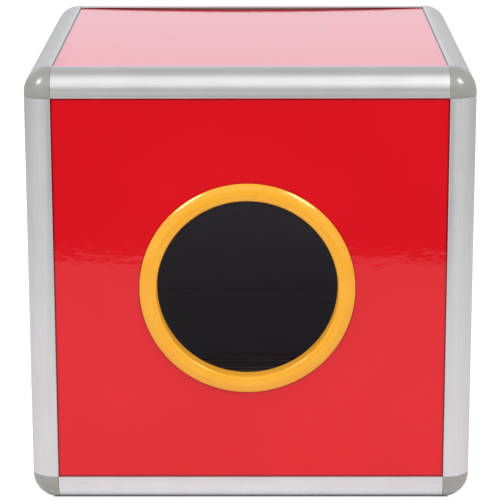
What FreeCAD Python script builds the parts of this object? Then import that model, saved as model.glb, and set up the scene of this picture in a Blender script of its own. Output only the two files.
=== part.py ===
"""Ballot box with a hand hole: red boards in an aluminium edge frame.

Millimetres. +X is the box's right as seen from the front, +Y runs from the front to the back,
+Z is up. The origin is the middle of the footprint, on the surface that the box stands on.
"""

import FreeCAD, Part

import math
import os

# Whole box
BOX_WIDTH = 300.0
BOX_DEPTH = 300.0
BOX_HEIGHT = 300.0

# Edge rail: one extrusion with a round outer face and a slot for a board on each side
RAIL_ROUND = 16.6
RAIL_FLANGE = 18.6
RAIL_SKIN = 1.2
RAIL_WALL = 1.2
SLOT_SLACK = 1.6
SLOT_DEPTH = 5.2

# Ball corner: legs pushed into the hollow of the rails
LEG_LENGTH = 24.0
LEG_TIP = 3.0
LEG_TAPER = 0.8
LEG_CLEARANCE = 0.1

# Boards
BOARD_THICKNESS = 3.0
BOARD_EDGE_CLEARANCE = 0.4
TOP_BOARD_SAG = 1.2

# Hand hole ring, just left of and above the middle of the front board
RING_OFFSET_X = -2.0
RING_OFFSET_Z = 1.7
RING_BORE_RADIUS = 60.8
RING_FLANGE_WIDTH = 11.5
RING_HEIGHT = 4.1
RING_FOOT = 0.9
RING_CREST = 4.2
RING_INNER_EDGE = 2.0
COLLAR_WALL = 2.0
COLLAR_HOLE_CLEARANCE = 0.3
RETAINER_THICKNESS = 3.0
RETAINER_CHAMFER = 0.8
RETAINER_CLEARANCE = 0.1
CATCH_COUNT = 6
CATCH_ANGLE = 8.0
CATCH_LENGTH = 2.2
CATCH_REACH = 0.8

# Access door in the back board
DOOR_MARGIN = 65.0
DOOR_OPENING_WIDTH = BOX_WIDTH - 2 * DOOR_MARGIN
DOOR_OPENING_HEIGHT = BOX_HEIGHT - 2 * DOOR_MARGIN
DOOR_GAP = 1.2
DOOR_SEAT_GAP = 0.2
STOP_WIDTH = 12.0
STOP_LAP = 6.0
STOP_THICKNESS = 2.0

# Butt hinges, with their pin just outside the back board
HINGE_SPACING = 104.0
HINGE_LENGTH = 30.0
HINGE_LEAF_WIDTH = 16.0
HINGE_LEAF_THICKNESS = 1.0
HINGE_KNUCKLE_RADIUS = 2.0
HINGE_KNUCKLE_LIFT = 0.4
HINGE_KNUCKLE_GAP = 0.2
HINGE_NOTCH_CLEARANCE = 0.4
HINGE_PIN_RADIUS = 1.0
HINGE_PIN_CLEARANCE = 0.05
HINGE_PIN_HEAD = 0.6
HINGE_PIN_HEAD_RADIUS = 1.6

# Hinge rivets
RIVET_SPACING = 18.0
RIVET_INSET = 6.0
RIVET_SHANK_RADIUS = 1.6
RIVET_CLEARANCE = 0.05
RIVET_HEAD_RADIUS = 2.9
RIVET_HEAD_HEIGHT = 0.8
RIVET_TAIL_RADIUS = 2.5
RIVET_TAIL_HEIGHT = 1.2

# Cam lock
LOCK_INSET = 19.8
LOCK_BODY_RADIUS = 8.0
LOCK_BODY_FLAT = 6.8
LOCK_BODY_LENGTH = 12.0
LOCK_HOLE_CLEARANCE = 0.1
LOCK_FLANGE_RADIUS = 10.5
LOCK_FLANGE_THICKNESS = 2.2
LOCK_FLANGE_CHAMFER = 0.7
LOCK_NUT_FLATS = 20.0
LOCK_NUT_THICKNESS = 3.2
PLUG_RADIUS = 5.5
PLUG_HEAD_RADIUS = 6.6
PLUG_HEAD_THICKNESS = 1.4
PLUG_CLEARANCE = 0.05
PLUG_TAIL_RADIUS = 3.6
PLUG_TAIL_FLAT = 2.6
PLUG_TAIL_CLEARANCE = 0.05
KEYWAY_WIDTH = 1.6
KEYWAY_HEIGHT = 7.6
KEYWAY_DEPTH = 6.0
CAM_THICKNESS = 1.6
CAM_WIDTH = 12.0
CAM_REACH = 30.0
CAM_CRANK_START = 13.0
CAM_CRANK_END = 18.0
CAM_STOP_GAP = 0.4
CAM_SCREW_RADIUS = 1.5
CAM_SCREW_DEPTH = 6.0
CAM_SCREW_CLEARANCE = 0.05
CAM_SCREW_HEAD_RADIUS = 4.4
CAM_SCREW_HEAD_HEIGHT = 2.0
CAM_SCREW_RECESS_WIDTH = 1.0
CAM_SCREW_RECESS_DEPTH = 0.9

# Places worked out from the sizes above
SLOT_OUTER = RAIL_SKIN
SLOT_INNER = SLOT_OUTER + BOARD_THICKNESS + SLOT_SLACK
LIP_INNER = SLOT_INNER + RAIL_WALL
SLOT_FLOOR = RAIL_FLANGE - SLOT_DEPTH
POCKET_WALL = SLOT_FLOOR - RAIL_WALL
BOARD_INSET = SLOT_FLOOR + BOARD_EDGE_CLEARANCE
LEFT = -BOX_WIDTH / 2
RIGHT = BOX_WIDTH / 2
FRONT = -BOX_DEPTH / 2
BACK = BOX_DEPTH / 2
FRONT_FACE = FRONT + SLOT_OUTER
FRONT_INSIDE = FRONT_FACE + BOARD_THICKNESS
BACK_FACE = BACK - SLOT_OUTER
BACK_INSIDE = BACK_FACE - BOARD_THICKNESS
DOOR_MIDDLE_Z = BOX_HEIGHT / 2
DOOR_LEFT = -DOOR_OPENING_WIDTH / 2
DOOR_RIGHT = DOOR_OPENING_WIDTH / 2
DOOR_BOTTOM = DOOR_MIDDLE_Z - DOOR_OPENING_HEIGHT / 2
DOOR_TOP = DOOR_MIDDLE_Z + DOOR_OPENING_HEIGHT / 2
DOOR_FACE = BACK_FACE + DOOR_SEAT_GAP
DOOR_INSIDE = DOOR_FACE - BOARD_THICKNESS
HINGE_X = DOOR_RIGHT - DOOR_GAP / 2
HINGE_Y = BACK_FACE + HINGE_KNUCKLE_RADIUS + HINGE_KNUCKLE_LIFT
HINGE_MIDDLES_Z = {
    "upper": DOOR_MIDDLE_Z + HINGE_SPACING / 2,
    "lower": DOOR_MIDDLE_Z - HINGE_SPACING / 2,
}
LOCK_X = DOOR_LEFT + DOOR_GAP + LOCK_INSET
LOCK_Z = DOOR_MIDDLE_Z
LOCK_BODY_END = DOOR_FACE - LOCK_BODY_LENGTH
RING_X = RING_OFFSET_X
RING_Z = BOX_HEIGHT / 2 + RING_OFFSET_Z

X_AXIS = FreeCAD.Vector(1, 0, 0)
Y_AXIS = FreeCAD.Vector(0, 1, 0)
Z_AXIS = FreeCAD.Vector(0, 0, 1)


def vec(x, y, z=0.0):
    return FreeCAD.Vector(x, y, z)


def block(low, high):
    """A box between two corners."""
    size = [b - a for a, b in zip(low, high)]
    return Part.makeBox(*size, vec(*low))


def rod(radius, start, end):
    """A round bar from one point to another."""
    along = end - start
    return Part.makeCylinder(radius, along.Length, start, along)


def face_of(edges):
    return Part.Face(Part.Wire(Part.__sortEdges__(edges)))


def polygon(points):
    """A flat face through points, closed back to the first."""
    return Part.Face(Part.makePolygon(points + points[:1]))


def placed(shape, right, up, out, origin):
    """The shape with its local X, Y and Z laid along three directions of the box."""
    matrix = FreeCAD.Matrix(
        right.x, up.x, out.x, origin.x,
        right.y, up.y, out.y, origin.y,
        right.z, up.z, out.z, origin.z,
        0.0, 0.0, 0.0, 1.0,
    )
    moved = shape.copy()
    moved.Placement = FreeCAD.Placement(matrix) * shape.Placement
    return moved


def save(name, *solids):
    """Writes one sub-part, whose pieces are separate solids."""
    shape = solids[0] if len(solids) == 1 else Part.makeCompound(list(solids))
    if not shape.isValid():
        raise ValueError(f"{name} is not a valid solid")
    shape.exportStep(os.path.join("parts", name + ".step"))


# Edge rails

def rounded_corner(radius, far):
    """A square that ends at far on both sides, with its outer corner rounded.

    The round is about the rail's own centre of curvature, so a smaller radius stands further in.
    """
    near = RAIL_ROUND - radius
    diagonal = radius / math.sqrt(2)
    middle = vec(RAIL_ROUND - diagonal, RAIL_ROUND - diagonal)
    if far > RAIL_ROUND:
        start = vec(RAIL_ROUND, near)
        end = vec(near, RAIL_ROUND)
        points = [end, vec(near, far), vec(far, far), vec(far, near), start]
    else:
        crossing = RAIL_ROUND - math.sqrt(radius**2 - (RAIL_ROUND - far) ** 2)
        start = vec(far, crossing)
        end = vec(crossing, far)
        points = [end, vec(far, far), start]
    straight = [Part.LineSegment(a, b).toShape() for a, b in zip(points, points[1:])]
    return face_of([Part.Arc(start, middle, end).toShape()] + straight)


def rail_bar(length):
    """The extrusion along local Z, with the box's outer edge at the local origin."""
    bar = rounded_corner(RAIL_ROUND, RAIL_FLANGE).extrude(vec(0, 0, length))
    pocket = rounded_corner(RAIL_ROUND - RAIL_SKIN, POCKET_WALL).extrude(vec(0, 0, length))
    cuts = [pocket]
    for low, high in (
        ((SLOT_FLOOR, SLOT_OUTER), (RAIL_FLANGE, SLOT_INNER)),
        ((SLOT_OUTER, SLOT_FLOOR), (SLOT_INNER, RAIL_FLANGE)),
        ((SLOT_FLOOR, LIP_INNER), (RAIL_FLANGE, RAIL_FLANGE)),
        ((LIP_INNER, SLOT_FLOOR), (RAIL_FLANGE, RAIL_FLANGE)),
    ):
        cuts.append(block((*low, 0.0), (*high, length)))
    return bar.cut(cuts)


def rail(start, along, length, inward_a, inward_b):
    """One rail from start, with its two slotted faces looking along the inward directions."""
    if inward_a.cross(inward_b).dot(along) < 0:
        inward_a, inward_b = inward_b, inward_a
    return placed(rail_bar(length), inward_a, inward_b, along, start)


def make_rails():
    sides = {"left": (LEFT, X_AXIS), "right": (RIGHT, -X_AXIS)}
    ends = {"front": (FRONT, Y_AXIS), "rear": (BACK, -Y_AXIS)}
    levels = {"bottom": (0.0, Z_AXIS), "top": (BOX_HEIGHT, -Z_AXIS)}
    for end, (y, from_end) in ends.items():
        for level, (z, from_level) in levels.items():
            start = vec(LEFT + RAIL_FLANGE, y, z)
            length = BOX_WIDTH - 2 * RAIL_FLANGE
            save(f"rail_{end}_{level}", rail(start, X_AXIS, length, from_end, from_level))
        for side, (x, from_side) in sides.items():
            start = vec(x, y, RAIL_FLANGE)
            length = BOX_HEIGHT - 2 * RAIL_FLANGE
            save(f"rail_{end}_{side}", rail(start, Z_AXIS, length, from_end, from_side))
    for level, (z, from_level) in levels.items():
        for side, (x, from_side) in sides.items():
            start = vec(x, FRONT + RAIL_FLANGE, z)
            length = BOX_DEPTH - 2 * RAIL_FLANGE
            save(f"rail_{level}_{side}", rail(start, Y_AXIS, length, from_level, from_side))


# Ball corners

def corner_leg():
    """A leg along local Z that fills the rail's hollow, drawn in at its tip."""
    radius = RAIL_ROUND - RAIL_SKIN - LEG_CLEARANCE
    far = POCKET_WALL - LEG_CLEARANCE
    straight = RAIL_FLANGE + LEG_LENGTH - LEG_TIP
    leg = rounded_corner(radius, far).extrude(vec(0, 0, straight - RAIL_ROUND))
    leg.translate(vec(0, 0, RAIL_ROUND))
    foot = rounded_corner(radius, far).OuterWire
    foot.translate(vec(0, 0, straight))
    end = rounded_corner(radius - LEG_TAPER, far - LEG_TAPER).OuterWire
    end.translate(vec(0, 0, straight + LEG_TIP))
    return leg.fuse(Part.makeLoft([foot, end], True, True))


def three_ways(shape):
    """The shape along local Z, and turned to lie along X and along Y."""
    origin = vec(0, 0, 0)
    along_x = placed(shape, Y_AXIS, Z_AXIS, X_AXIS, origin)
    along_y = placed(shape, Z_AXIS, X_AXIS, Y_AXIS, origin)
    return [shape, along_x, along_y]


def ball_corner():
    """The corner in the octant where X, Y and Z all run into the box."""
    size = RAIL_FLANGE
    centre = vec(RAIL_ROUND, RAIL_ROUND, RAIL_ROUND)
    ball = Part.makeSphere(RAIL_ROUND, centre, Z_AXIS, -90, 0, 90)
    ball.rotate(centre, Z_AXIS, 180)
    collar = rounded_corner(RAIL_ROUND, size).extrude(vec(0, 0, size - RAIL_ROUND))
    collar.translate(vec(0, 0, RAIL_ROUND))
    cap = ball.fuse(three_ways(collar)).removeSplitter()
    cuts = []
    for axis in range(3):
        for near, far in ((SLOT_OUTER, SLOT_INNER), (LIP_INNER, size)):
            low = [SLOT_FLOOR] * 3
            high = [size] * 3
            low[axis] = near
            high[axis] = far
            cuts.append(block(low, high))
    cap = cap.cut(cuts)
    return cap.fuse(three_ways(corner_leg())).removeSplitter()


def make_corners():
    corner = ball_corner()
    for level, z, up in (("bottom", 0.0, Z_AXIS), ("top", BOX_HEIGHT, -Z_AXIS)):
        for end, y, deep in (("front", FRONT, Y_AXIS), ("rear", BACK, -Y_AXIS)):
            for side, x, across in (("left", LEFT, X_AXIS), ("right", RIGHT, -X_AXIS)):
                # the corner is the same in all three directions, so two may change places
                first, second = (across, deep) if across.cross(deep).dot(up) > 0 else (deep, across)
                save(f"corner_{end}_{level}_{side}", placed(corner, first, second, up, vec(x, y, z)))


# Boards

def make_side_boards():
    low_z = BOARD_INSET
    high_z = BOX_HEIGHT - BOARD_INSET
    low_y = FRONT + BOARD_INSET
    high_y = BACK - BOARD_INSET
    outer = SLOT_OUTER
    inner = SLOT_OUTER + BOARD_THICKNESS
    save("panel_left", block((LEFT + outer, low_y, low_z), (LEFT + inner, high_y, high_z)))
    save("panel_right", block((RIGHT - inner, low_y, low_z), (RIGHT - outer, high_y, high_z)))
    low_x = LEFT + BOARD_INSET
    high_x = RIGHT - BOARD_INSET
    save("panel_bottom", block((low_x, low_y, outer), (high_x, high_y, inner)))


def make_top_board():
    """The top board sags between the side rails, within the slack of its slots."""
    half = BOX_WIDTH / 2 - BOARD_INSET
    top = BOX_HEIGHT - SLOT_OUTER
    edges = []
    for level in (top, top - BOARD_THICKNESS):
        ends = vec(-half, 0, level), vec(half, 0, level)
        edges.append(Part.Arc(ends[0], vec(0, 0, level - TOP_BOARD_SAG), ends[1]).toShape())
    for x in (-half, half):
        edges.append(Part.LineSegment(vec(x, 0, top), vec(x, 0, top - BOARD_THICKNESS)).toShape())
    board = face_of(edges).extrude(vec(0, BOX_DEPTH - 2 * BOARD_INSET, 0))
    board.translate(vec(0, FRONT + BOARD_INSET, 0))
    save("panel_top", board)


def front_to_back_plate(low_x, high_x, low_z, high_z, face_y, inside_y):
    low_y, high_y = sorted((face_y, inside_y))
    return block((low_x, low_y, low_z), (high_x, high_y, high_z))


def make_front_board():
    board = front_to_back_plate(
        LEFT + BOARD_INSET, RIGHT - BOARD_INSET,
        BOARD_INSET, BOX_HEIGHT - BOARD_INSET,
        FRONT_FACE, FRONT_INSIDE,
    )
    hole_radius = RING_BORE_RADIUS + COLLAR_WALL + COLLAR_HOLE_CLEARANCE
    hole = rod(hole_radius, vec(RING_X, FRONT, RING_Z), vec(RING_X, FRONT_INSIDE + 1, RING_Z))
    save("panel_front", board.cut(hole))


def hinge_rivet_places(side):
    """Middles of one leaf's rivets: side is 1 for the frame leaf and -1 for the door leaf."""
    x = HINGE_X + side * (HINGE_LEAF_WIDTH - RIVET_INSET)
    return [
        (x, middle + end * RIVET_SPACING / 2)
        for middle in HINGE_MIDDLES_Z.values()
        for end in (1, -1)
    ]


def rivet_holes(side):
    radius = RIVET_SHANK_RADIUS + RIVET_CLEARANCE
    return [
        rod(radius, vec(x, BACK_INSIDE - 1, z), vec(x, HINGE_Y, z))
        for x, z in hinge_rivet_places(side)
    ]


def make_back_board():
    board = front_to_back_plate(
        LEFT + BOARD_INSET, RIGHT - BOARD_INSET,
        BOARD_INSET, BOX_HEIGHT - BOARD_INSET,
        BACK_FACE, BACK_INSIDE,
    )
    opening = front_to_back_plate(
        DOOR_LEFT, DOOR_RIGHT, DOOR_BOTTOM, DOOR_TOP, BACK, BACK_INSIDE - 1,
    )
    save("panel_back", board.cut([opening] + rivet_holes(1)))


# Hand hole ring

def on_front(shape, depth):
    """A turned piece with its axis on local Z: local Z comes to point out of the front."""
    return placed(shape, X_AXIS, Z_AXIS, -Y_AXIS, vec(RING_X, FRONT_FACE + depth, RING_Z))


def turned(edges, angle=360.0):
    """Revolves a section, drawn with X as the radius, about local Z."""
    return face_of(edges).revolve(vec(0, 0, 0), Z_AXIS, angle)


def ring_section():
    """Bead in front of the board, and collar through it.

    The bead is a low dome, highest a little outside the bore and ending in a short upright foot. Its
    inner edge is a round that runs smoothly into the dome.
    """
    bore = RING_BORE_RADIUS
    outer = bore + RING_FLANGE_WIDTH
    collar = bore + COLLAR_WALL
    tail = -(BOARD_THICKNESS + RETAINER_THICKNESS + CATCH_LENGTH)
    crest = bore + RING_CREST
    drop = RING_HEIGHT - RING_FOOT
    dome = ((outer - crest) ** 2 + drop**2) / (2 * drop)
    dome_level = RING_HEIGHT - dome
    edge_x = bore + RING_INNER_EDGE
    edge_level = dome_level + math.sqrt((dome - RING_INNER_EDGE) ** 2 - (crest - edge_x) ** 2)
    meeting = math.atan2(edge_level - dome_level, edge_x - crest)
    foot = math.atan2(RING_FOOT - dome_level, outer - crest)

    def line(a, b):
        return Part.LineSegment(vec(a[0], 0, a[1]), vec(b[0], 0, b[1])).toShape()

    def arc(a, b, c):
        return Part.Arc(vec(a[0], 0, a[1]), vec(b[0], 0, b[1]), vec(c[0], 0, c[1])).toShape()

    def on_dome(angle):
        return crest + dome * math.cos(angle), dome_level + dome * math.sin(angle)

    def on_edge(angle):
        return edge_x + RING_INNER_EDGE * math.cos(angle), edge_level + RING_INNER_EDGE * math.sin(angle)

    return [
        line((bore, tail), (bore, edge_level)),
        arc((bore, edge_level), on_edge((math.pi + meeting) / 2), on_dome(meeting)),
        arc(on_dome(meeting), on_dome((meeting + foot) / 2), (outer, RING_FOOT)),
        line((outer, RING_FOOT), (outer, 0)),
        line((outer, 0), (collar, 0)),
        line((collar, 0), (collar, tail)),
        line((collar, tail), (bore, tail)),
    ]


def make_ring():
    ring = turned(ring_section())
    collar = RING_BORE_RADIUS + COLLAR_WALL
    behind = -(BOARD_THICKNESS + RETAINER_THICKNESS + RETAINER_CLEARANCE)
    tail = -(BOARD_THICKNESS + RETAINER_THICKNESS + CATCH_LENGTH)
    wedge = [
        vec(collar - COLLAR_WALL / 2, 0, behind),
        vec(collar + CATCH_REACH, 0, behind),
        vec(collar, 0, tail),
        vec(collar - COLLAR_WALL / 2, 0, tail),
    ]
    catches = []
    for index in range(CATCH_COUNT):
        catch = polygon(wedge).revolve(vec(0, 0, 0), Z_AXIS, CATCH_ANGLE)
        catch.rotate(vec(0, 0, 0), Z_AXIS, index * 360 / CATCH_COUNT - CATCH_ANGLE / 2)
        catches.append(catch)
    save("hand_hole_ring", on_front(ring.fuse(catches), 0.0))


def make_retainer():
    inner = RING_BORE_RADIUS + COLLAR_WALL + RETAINER_CLEARANCE
    outer = RING_BORE_RADIUS + RING_FLANGE_WIDTH
    back = -RETAINER_THICKNESS
    cut = RETAINER_CHAMFER
    section = [
        vec(inner, 0, 0),
        vec(outer, 0, 0),
        vec(outer, 0, back + cut),
        vec(outer - cut, 0, back),
        vec(inner + cut, 0, back),
        vec(inner, 0, back + cut),
    ]
    retainer = polygon(section).revolve(vec(0, 0, 0), Z_AXIS, 360)
    save("hand_hole_retainer", on_front(retainer, BOARD_THICKNESS))


# Access door

def make_door_leaf():
    leaf = front_to_back_plate(
        DOOR_LEFT + DOOR_GAP, DOOR_RIGHT - DOOR_GAP,
        DOOR_BOTTOM + DOOR_GAP, DOOR_TOP - DOOR_GAP,
        DOOR_FACE, DOOR_INSIDE,
    )
    hole = lock_body(LOCK_HOLE_CLEARANCE, DOOR_INSIDE - 1, DOOR_FACE + 1)
    save("door_leaf", leaf.cut([hole] + rivet_holes(-1)))


def make_door_stops():
    """Strips glued inside the back board, standing into the door opening by the lap."""
    outside = STOP_WIDTH - STOP_LAP
    low_y = BACK_INSIDE - STOP_THICKNESS
    for name, edge, way in (("bottom", DOOR_BOTTOM, 1), ("top", DOOR_TOP, -1)):
        low_z, high_z = sorted((edge - way * outside, edge + way * STOP_LAP))
        strip = block(
            (DOOR_LEFT - outside, low_y, low_z),
            (DOOR_RIGHT + outside, BACK_INSIDE, high_z),
        )
        save(f"door_stop_{name}", strip)
    for name, edge, way in (("lock_side", DOOR_LEFT, 1), ("hinge_side", DOOR_RIGHT, -1)):
        low_x, high_x = sorted((edge - way * outside, edge + way * STOP_LAP))
        strip = block(
            (low_x, low_y, DOOR_BOTTOM + STOP_LAP),
            (high_x, BACK_INSIDE, DOOR_TOP - STOP_LAP),
        )
        save(f"door_stop_{name}", strip)


# Hinges

def knuckle_spans(middle, owner):
    """Heights of the knuckles: the frame leaf has the two outer ones, the door leaf the middle one."""
    low = middle - HINGE_LENGTH / 2
    third = HINGE_LENGTH / 3
    half_gap = HINGE_KNUCKLE_GAP / 2
    if owner == "door":
        return [(low + third + half_gap, low + 2 * third - half_gap)]
    return [(low, low + third - half_gap), (low + 2 * third + half_gap, low + HINGE_LENGTH)]


def hinge_rod(radius, low, high):
    return rod(radius, vec(HINGE_X, HINGE_Y, low), vec(HINGE_X, HINGE_Y, high))


def hinge_leaf(middle, side, seat_y):
    """A leaf flat on the board at seat_y, rolled into its knuckles at the pin."""
    owner, other = ("frame", "door") if side > 0 else ("door", "frame")
    low = middle - HINGE_LENGTH / 2
    high = middle + HINGE_LENGTH / 2
    low_x, high_x = sorted((HINGE_X, HINGE_X + side * HINGE_LEAF_WIDTH))
    plate = block((low_x, seat_y, low), (high_x, seat_y + HINGE_LEAF_THICKNESS, high))
    clear = HINGE_KNUCKLE_RADIUS + HINGE_NOTCH_CLEARANCE
    notches = [
        hinge_rod(clear, start - HINGE_KNUCKLE_GAP, end + HINGE_KNUCKLE_GAP)
        for start, end in knuckle_spans(middle, other)
    ]
    knuckles = []
    for start, end in knuckle_spans(middle, owner):
        knuckles.append(hinge_rod(HINGE_KNUCKLE_RADIUS, start, end))
        # the roll's root, from the plate up to the knuckle's side
        root_x = HINGE_X + side * HINGE_KNUCKLE_RADIUS
        a, b = sorted((HINGE_X, root_x))
        knuckles.append(block((a, seat_y, start), (b, HINGE_Y, end)))
    bore = hinge_rod(HINGE_PIN_RADIUS + HINGE_PIN_CLEARANCE, low - 1, high + 1)
    return plate.cut(notches).fuse(knuckles).cut([bore] + rivet_holes(side)).removeSplitter()


def hinge_pin(middle):
    low = middle - HINGE_LENGTH / 2
    high = middle + HINGE_LENGTH / 2
    stem = hinge_rod(HINGE_PIN_RADIUS, low - HINGE_PIN_HEAD / 2, high + HINGE_PIN_HEAD / 2)
    heads = [
        hinge_rod(HINGE_PIN_HEAD_RADIUS, low - HINGE_PIN_HEAD, low),
        hinge_rod(HINGE_PIN_HEAD_RADIUS, high, high + HINGE_PIN_HEAD),
    ]
    return stem.fuse(heads).removeSplitter()


def make_hinges():
    for name, middle in HINGE_MIDDLES_Z.items():
        save(f"hinge_{name}_frame_leaf", hinge_leaf(middle, 1, BACK_FACE))
        save(f"hinge_{name}_door_leaf", hinge_leaf(middle, -1, DOOR_FACE))
        save(f"hinge_{name}_pin", hinge_pin(middle))


def rivet(x, z, seat_y):
    """A rivet with a low domed head on the leaf, and a flat tail inside the board."""
    head_y = seat_y + HINGE_LEAF_THICKNESS
    inside_y = seat_y - BOARD_THICKNESS
    dome_radius = (RIVET_HEAD_RADIUS**2 + RIVET_HEAD_HEIGHT**2) / (2 * RIVET_HEAD_HEIGHT)
    ball = Part.makeSphere(dome_radius, vec(x, head_y + RIVET_HEAD_HEIGHT - dome_radius, z))
    dome = ball.common(
        rod(RIVET_HEAD_RADIUS + 1, vec(x, head_y, z), vec(x, head_y + RIVET_HEAD_HEIGHT + 1, z))
    )
    shank = rod(RIVET_SHANK_RADIUS, vec(x, inside_y - RIVET_TAIL_HEIGHT / 2, z), vec(x, head_y, z))
    tail = rod(RIVET_TAIL_RADIUS, vec(x, inside_y - RIVET_TAIL_HEIGHT, z), vec(x, inside_y, z))
    return dome.fuse([shank, tail]).removeSplitter()


def make_rivets():
    save("hinge_rivets_frame", *[rivet(x, z, BACK_FACE) for x, z in hinge_rivet_places(1)])
    save("hinge_rivets_door", *[rivet(x, z, DOOR_FACE) for x, z in hinge_rivet_places(-1)])


# Cam lock

def lock_point(y):
    return vec(LOCK_X, y, LOCK_Z)


def lock_rod(radius, y_from, y_to):
    return rod(radius, lock_point(y_from), lock_point(y_to))


def lock_body(clearance, y_from, y_to):
    """Round body with two flats, which keep the lock from turning in its hole."""
    flat = LOCK_BODY_FLAT + clearance
    reach = LOCK_BODY_RADIUS + clearance + 1
    between_flats = block(
        (LOCK_X - flat, y_from, LOCK_Z - reach),
        (LOCK_X + flat, y_to, LOCK_Z + reach),
    )
    return lock_rod(LOCK_BODY_RADIUS + clearance, y_from, y_to).common(between_flats)


def make_lock_housing():
    body = lock_body(0.0, LOCK_BODY_END, DOOR_FACE)
    rim = DOOR_FACE + LOCK_FLANGE_THICKNESS
    straight = lock_rod(LOCK_FLANGE_RADIUS, DOOR_FACE, rim - LOCK_FLANGE_CHAMFER)
    bevel = Part.makeCone(
        LOCK_FLANGE_RADIUS, LOCK_FLANGE_RADIUS - LOCK_FLANGE_CHAMFER, LOCK_FLANGE_CHAMFER,
        lock_point(rim - LOCK_FLANGE_CHAMFER), Y_AXIS,
    )
    bore = lock_rod(PLUG_RADIUS + PLUG_CLEARANCE, LOCK_BODY_END - 1, rim)
    seat = lock_rod(PLUG_HEAD_RADIUS + PLUG_CLEARANCE, rim - PLUG_HEAD_THICKNESS - PLUG_CLEARANCE, rim + 1)
    save("lock_housing", body.fuse([straight, bevel]).removeSplitter().cut([bore, seat]))


def make_lock_nut():
    corner_radius = LOCK_NUT_FLATS / math.sqrt(3)
    points = []
    for index in range(6):
        angle = math.radians(30 + 60 * index)
        points.append(vec(
            LOCK_X + corner_radius * math.cos(angle),
            DOOR_INSIDE,
            LOCK_Z + corner_radius * math.sin(angle),
        ))
    nut = polygon(points).extrude(vec(0, -LOCK_NUT_THICKNESS, 0))
    hole_radius = LOCK_BODY_RADIUS + LOCK_HOLE_CLEARANCE
    hole = lock_rod(hole_radius, DOOR_INSIDE - LOCK_NUT_THICKNESS - 1, DOOR_INSIDE + 1)
    save("lock_nut", nut.cut(hole))


def make_lock_plug():
    rim = DOOR_FACE + LOCK_FLANGE_THICKNESS
    head = lock_rod(PLUG_HEAD_RADIUS, rim - PLUG_HEAD_THICKNESS, rim)
    stem_end = LOCK_BODY_END - PLUG_CLEARANCE
    stem = lock_rod(PLUG_RADIUS, stem_end, rim - PLUG_HEAD_THICKNESS / 2)
    tail_end = stem_end - CAM_THICKNESS - PLUG_TAIL_CLEARANCE
    tail = lock_rod(PLUG_TAIL_RADIUS, tail_end, stem_end + PLUG_HEAD_THICKNESS)
    flats = block(
        (LOCK_X - PLUG_TAIL_FLAT, tail_end - 1, LOCK_Z - PLUG_TAIL_RADIUS - 1),
        (LOCK_X + PLUG_TAIL_FLAT, stem_end + PLUG_HEAD_THICKNESS + 1, LOCK_Z + PLUG_TAIL_RADIUS + 1),
    )
    keyway = block(
        (LOCK_X - KEYWAY_WIDTH / 2, rim - KEYWAY_DEPTH, LOCK_Z - KEYWAY_HEIGHT / 2),
        (LOCK_X + KEYWAY_WIDTH / 2, rim + 1, LOCK_Z + KEYWAY_HEIGHT / 2),
    )
    screw_hole = lock_rod(
        CAM_SCREW_RADIUS + CAM_SCREW_CLEARANCE,
        tail_end - 1,
        tail_end + CAM_SCREW_DEPTH + CAM_SCREW_CLEARANCE,
    )
    plug = stem.fuse([head, tail.common(flats)]).removeSplitter()
    save("lock_plug", plug.cut([keyway, screw_hole]))


def make_lock_cam():
    """A cranked arm: its tip stands forward, to bear on the stop strip. At rest it points up."""
    hub_face = LOCK_BODY_END - PLUG_CLEARANCE
    tip_face = BACK_INSIDE - STOP_THICKNESS - CAM_STOP_GAP
    half = CAM_WIDTH / 2
    slant = CAM_THICKNESS / 2
    profile = [
        vec(LOCK_X, hub_face, LOCK_Z - half),
        vec(LOCK_X, hub_face, LOCK_Z + CAM_CRANK_START - slant),
        vec(LOCK_X, tip_face, LOCK_Z + CAM_CRANK_END - slant),
        vec(LOCK_X, tip_face, LOCK_Z + CAM_REACH),
        vec(LOCK_X, tip_face - CAM_THICKNESS, LOCK_Z + CAM_REACH),
        vec(LOCK_X, tip_face - CAM_THICKNESS, LOCK_Z + CAM_CRANK_END),
        vec(LOCK_X, hub_face - CAM_THICKNESS, LOCK_Z + CAM_CRANK_START),
        vec(LOCK_X, hub_face - CAM_THICKNESS, LOCK_Z - half),
    ]
    arm = polygon(profile).extrude(vec(CAM_WIDTH, 0, 0))
    arm.translate(vec(-half, 0, 0))
    low_y = hub_face - CAM_THICKNESS - 1
    high_y = tip_face + 1
    round_ends = [
        lock_rod(half, low_y, high_y),
        lock_rod(half, low_y, high_y).translated(vec(0, 0, CAM_REACH - half)),
        block((LOCK_X - half, low_y, LOCK_Z), (LOCK_X + half, high_y, LOCK_Z + CAM_REACH - half)),
    ]
    outline = round_ends[0].fuse(round_ends[1:]).removeSplitter()
    flat = PLUG_TAIL_FLAT + PLUG_TAIL_CLEARANCE
    hole = lock_rod(PLUG_TAIL_RADIUS + PLUG_TAIL_CLEARANCE, low_y, high_y).common(
        block((LOCK_X - flat, low_y, LOCK_Z - half), (LOCK_X + flat, high_y, LOCK_Z + half))
    )
    save("lock_cam", arm.common(outline).cut(hole))


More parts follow.
